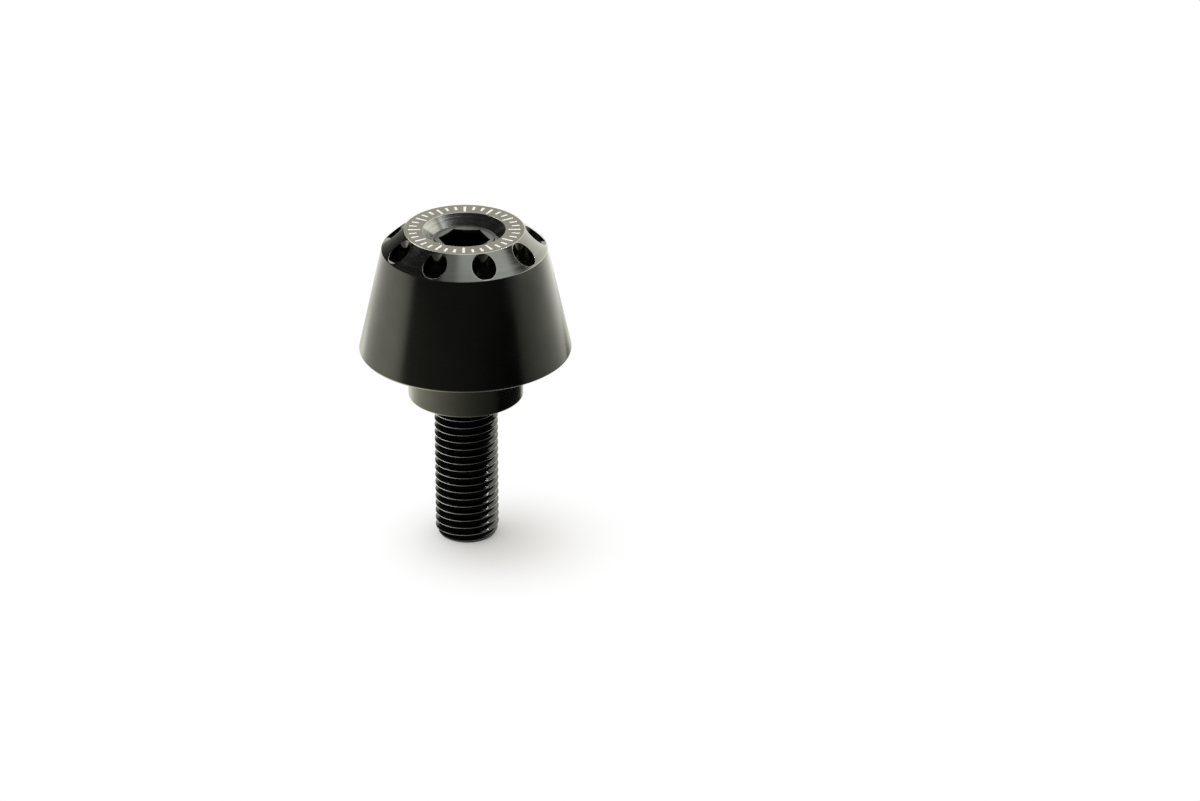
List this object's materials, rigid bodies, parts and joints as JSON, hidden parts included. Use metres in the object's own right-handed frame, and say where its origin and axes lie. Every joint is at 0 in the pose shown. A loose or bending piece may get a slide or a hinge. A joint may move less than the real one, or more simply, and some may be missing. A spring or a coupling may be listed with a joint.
{
  "type": "bar end weight",
  "caption": "Bar end weight: a black turned taper with a ring of pockets in its bevel and a recessed end face, a spacer collar, and a threaded stud with a hexagon socket.",
  "frame": {"origin": "centre of the flat point of the stud, which is the lowest face of the part", "axes": "+Z along the axis of the stud, from its threaded point towards the end face of the body; -Y is the side towards the viewer of the picture"},
  "size_m": [0.04, 0.04, 0.0627],
  "materials": {
    "anodised": "turned aluminium, anodised black, with a satin gloss",
    "blackened_steel": "machined steel with a black oxide finish, lightly oiled"
  },
  "bodies": {
    "root": {"body": "anodised", "collar": "anodised", "stud": "blackened_steel"}
  },
  "joints": []
}
